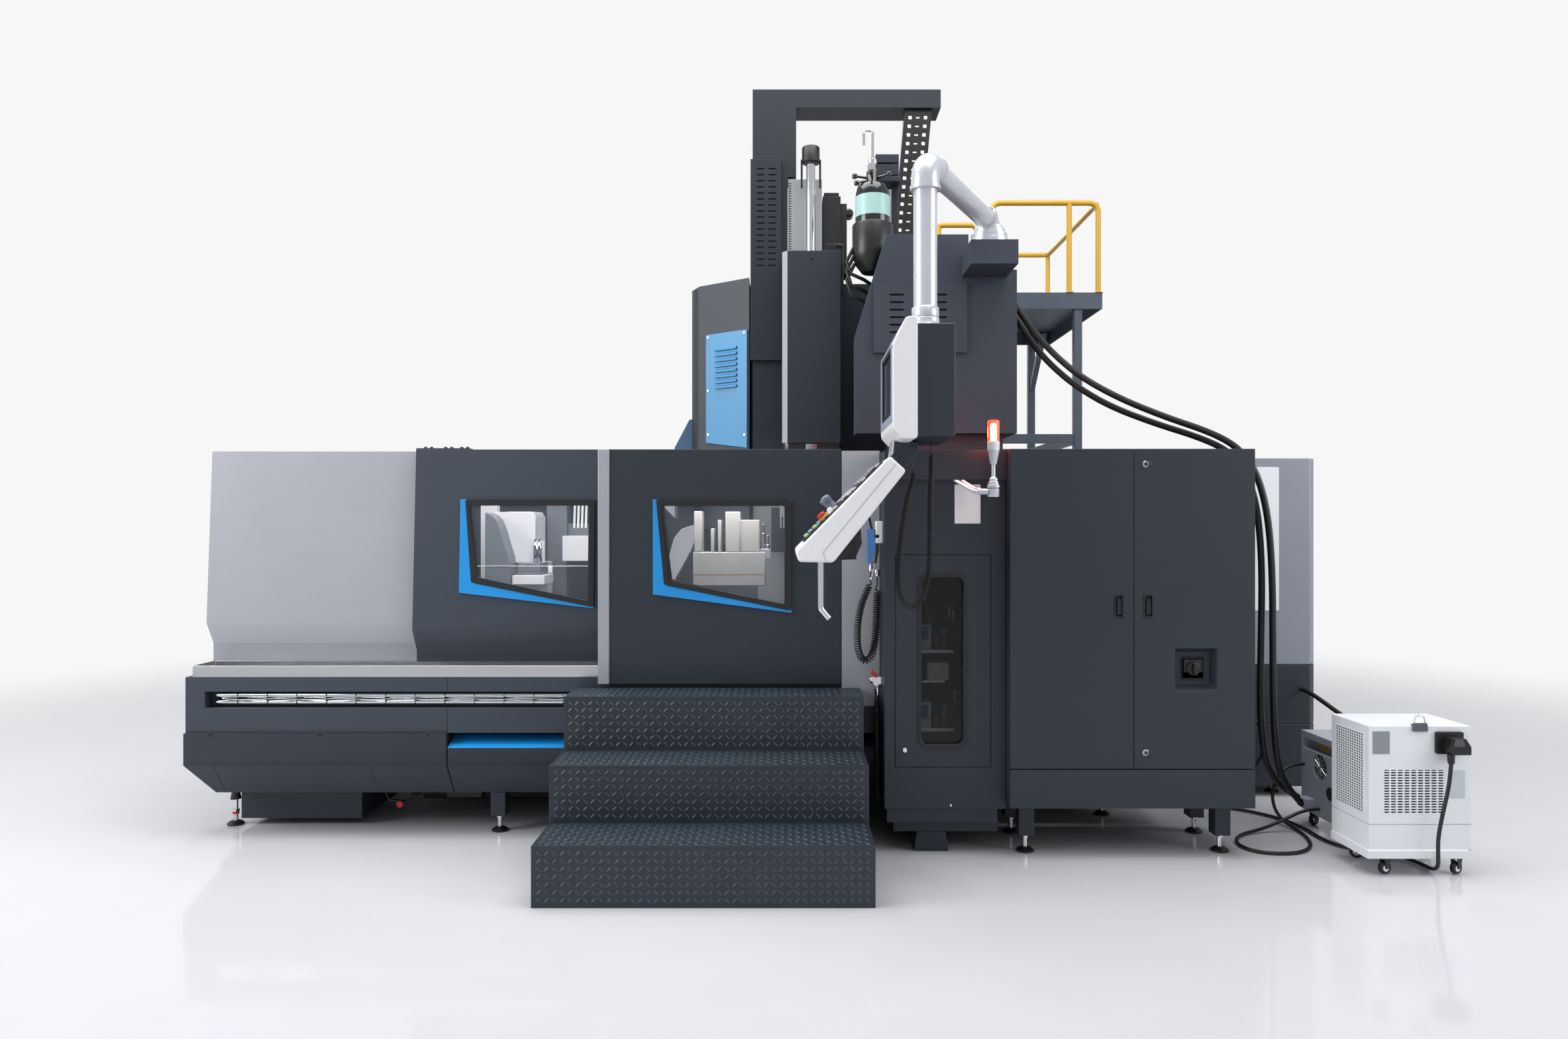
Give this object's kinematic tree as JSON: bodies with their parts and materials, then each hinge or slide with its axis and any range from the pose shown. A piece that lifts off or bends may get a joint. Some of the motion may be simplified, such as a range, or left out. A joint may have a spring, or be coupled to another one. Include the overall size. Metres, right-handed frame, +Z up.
{
  "type": "cnc machining center",
  "caption": "Travelling-table machining centre with sliding door, window covers, tall column, pendant on a swing arm, cabinets, steps, platform and cooling units.",
  "frame": {"origin": "on the floor under the middle of the bounding box", "axes": "+X to the right along the front, +Y from the operator towards the back, +Z up"},
  "size_m": [5.875, 4.58, 4.1262],
  "materials": {
    "cast_iron": "rough",
    "machined": "machined",
    "dark_paint": "fine texture",
    "grey_paint": "fine texture",
    "black_paint": "satin",
    "blue_paint": "satin",
    "step_paint": "satin",
    "pale_paint": "satin",
    "unit_paint": "satin",
    "silver_paint": "satin",
    "white_paint": "satin",
    "yellow_paint": "gloss",
    "stainless": "brushed",
    "black_steel": "black oxide",
    "chrome": "polished",
    "glass": "clear",
    "screen": "gloss",
    "red_lens": "gloss",
    "red_plastic": "satin",
    "grey_parts": "matte",
    "black_plastic": "matte",
    "black_rubber": "matte"
  },
  "bodies": {
    "machine": {"bed": "cast_iron", "column": "cast_iron", "base_cover": "dark_paint", "lower_covers": "dark_paint", "slot_tubes": "stainless", "gutter_rim": "stainless", "levelling_feet": "black_steel", "end_cover": "grey_paint", "window_cover": "dark_paint", "left_window_frame": "black_paint", "left_window_glass": "glass", "rear_enclosure": "dark_paint", "fixed_panel": "dark_paint", "steps": "step_paint", "air_cabinet": "dark_paint", "filter_units": "grey_parts", "control_cabinet": "dark_paint", "end_housing": "grey_paint", "column_cover": "grey_paint", "louvre_panels": "blue_paint", "front_cover": "dark_paint", "bridge_frame": "grey_paint", "accumulator": "black_paint", "cable_chain": "black_plastic", "platform": "dark_paint", "railing": "yellow_paint", "signal_lamp": "chrome", "lamp_lens": "red_lens", "coolant_hose_a": "black_rubber", "coolant_hose_b": "black_rubber", "air_hose": "black_rubber", "air_fittings": "black_plastic", "chiller": "pale_paint", "chiller_plug": "black_plastic", "chiller_cord": "black_rubber", "chiller_hose": "black_rubber", "unit_cord": "black_rubber", "service_unit": "unit_paint", "casters": "black_plastic", "tool_changer": "white_paint"},
    "door": {"front_door": "dark_paint", "door_window_frame": "black_paint", "door_window_glass": "glass"},
    "saddle": {"saddle": "cast_iron"},
    "table": {"table": "machined"},
    "head": {"head": "grey_paint", "head_cover": "dark_paint"},
    "spindle": {"spindle": "machined"},
    "arm": {"swing_arm": "silver_paint"},
    "pendant": {"pendant": "white_paint", "pendant_screen": "screen", "pendant_cord": "black_rubber"},
    "keyboard": {"keyboard": "white_paint"},
    "emergency_stop": {"emergency_stop": "red_plastic"},
    "override_knob": {"override_knob": "grey_parts"},
    "air_door": {"air_cabinet_door": "dark_paint", "air_cabinet_window": "glass"},
    "cabinet_door_left": {"cabinet_door_left": "dark_paint"},
    "cabinet_door_right": {"cabinet_door_right": "dark_paint"},
    "isolator": {"isolator_switch": "red_plastic"}
  },
  "joints": [
    {"name": "door_slide", "type": "slide", "parent": "machine", "child": "door", "axis": [1, 0, 0], "range_m": [-0.93, 0]},
    {"name": "saddle_slide", "type": "slide", "parent": "machine", "child": "saddle", "axis": [0, 1, 0], "range_m": [-0.15, 0.15]},
    {"name": "table_slide", "type": "slide", "parent": "saddle", "child": "table", "axis": [1, 0, 0], "range_m": [-1.2, 0.8]},
    {"name": "head_slide", "type": "slide", "parent": "machine", "child": "head", "axis": [0, 0, 1], "range_m": [-0.28, 0.2]},
    {"name": "spindle_turn", "type": "hinge", "parent": "head", "child": "spindle", "pos_m": [0.118, -0.42, 1.4], "axis": [0, 0, 1], "continuous": true},
    {"name": "arm_swing", "type": "hinge", "parent": "machine", "child": "arm", "pos_m": [0.995, -1.21, 3], "axis": [0, 0, 1], "range_deg": [-10, 60]},
    {"name": "pendant_turn", "type": "hinge", "parent": "arm", "child": "pendant", "pos_m": [0.559, -2.003, 2.386], "axis": [0, 0, 1], "range_deg": [-5, 60]},
    {"name": "keyboard_tilt", "type": "hinge", "parent": "pendant", "child": "keyboard", "pos_m": [0.429, -1.992, 1.775], "axis": [0, 1, 0], "range_deg": [-20, 15]},
    {"name": "emergency_stop_press", "type": "slide", "parent": "keyboard", "child": "emergency_stop", "axis": [0.7118, 0, -0.7024], "range_m": [0, 0.005], "stiffness_N_per_m": 3000},
    {"name": "override_turn", "type": "hinge", "parent": "keyboard", "child": "override_knob", "pos_m": [0.1756, -2.012, 1.5788], "axis": [-0.7118, 0, 0.7024], "range_deg": [-135, 135]},
    {"name": "air_door_swing", "type": "hinge", "parent": "machine", "child": "air_door", "pos_m": [0.909, -1.66, 0.89], "axis": [0, 0, 1], "range_deg": [0, 90]},
    {"name": "left_door_swing", "type": "hinge", "parent": "machine", "child": "cabinet_door_left", "pos_m": [0.98, -1.74, 1.136], "axis": [0, 0, -1], "range_deg": [0, 95]},
    {"name": "right_door_swing", "type": "hinge", "parent": "machine", "child": "cabinet_door_right", "pos_m": [2.085, -1.74, 1.136], "axis": [0, 0, 1], "range_deg": [0, 100]},
    {"name": "isolator_turn", "type": "hinge", "parent": "cabinet_door_right", "child": "isolator", "pos_m": [1.8185, -1.703, 0.863], "axis": [0, 1, 0], "range_deg": [0, 90]}
  ]
}
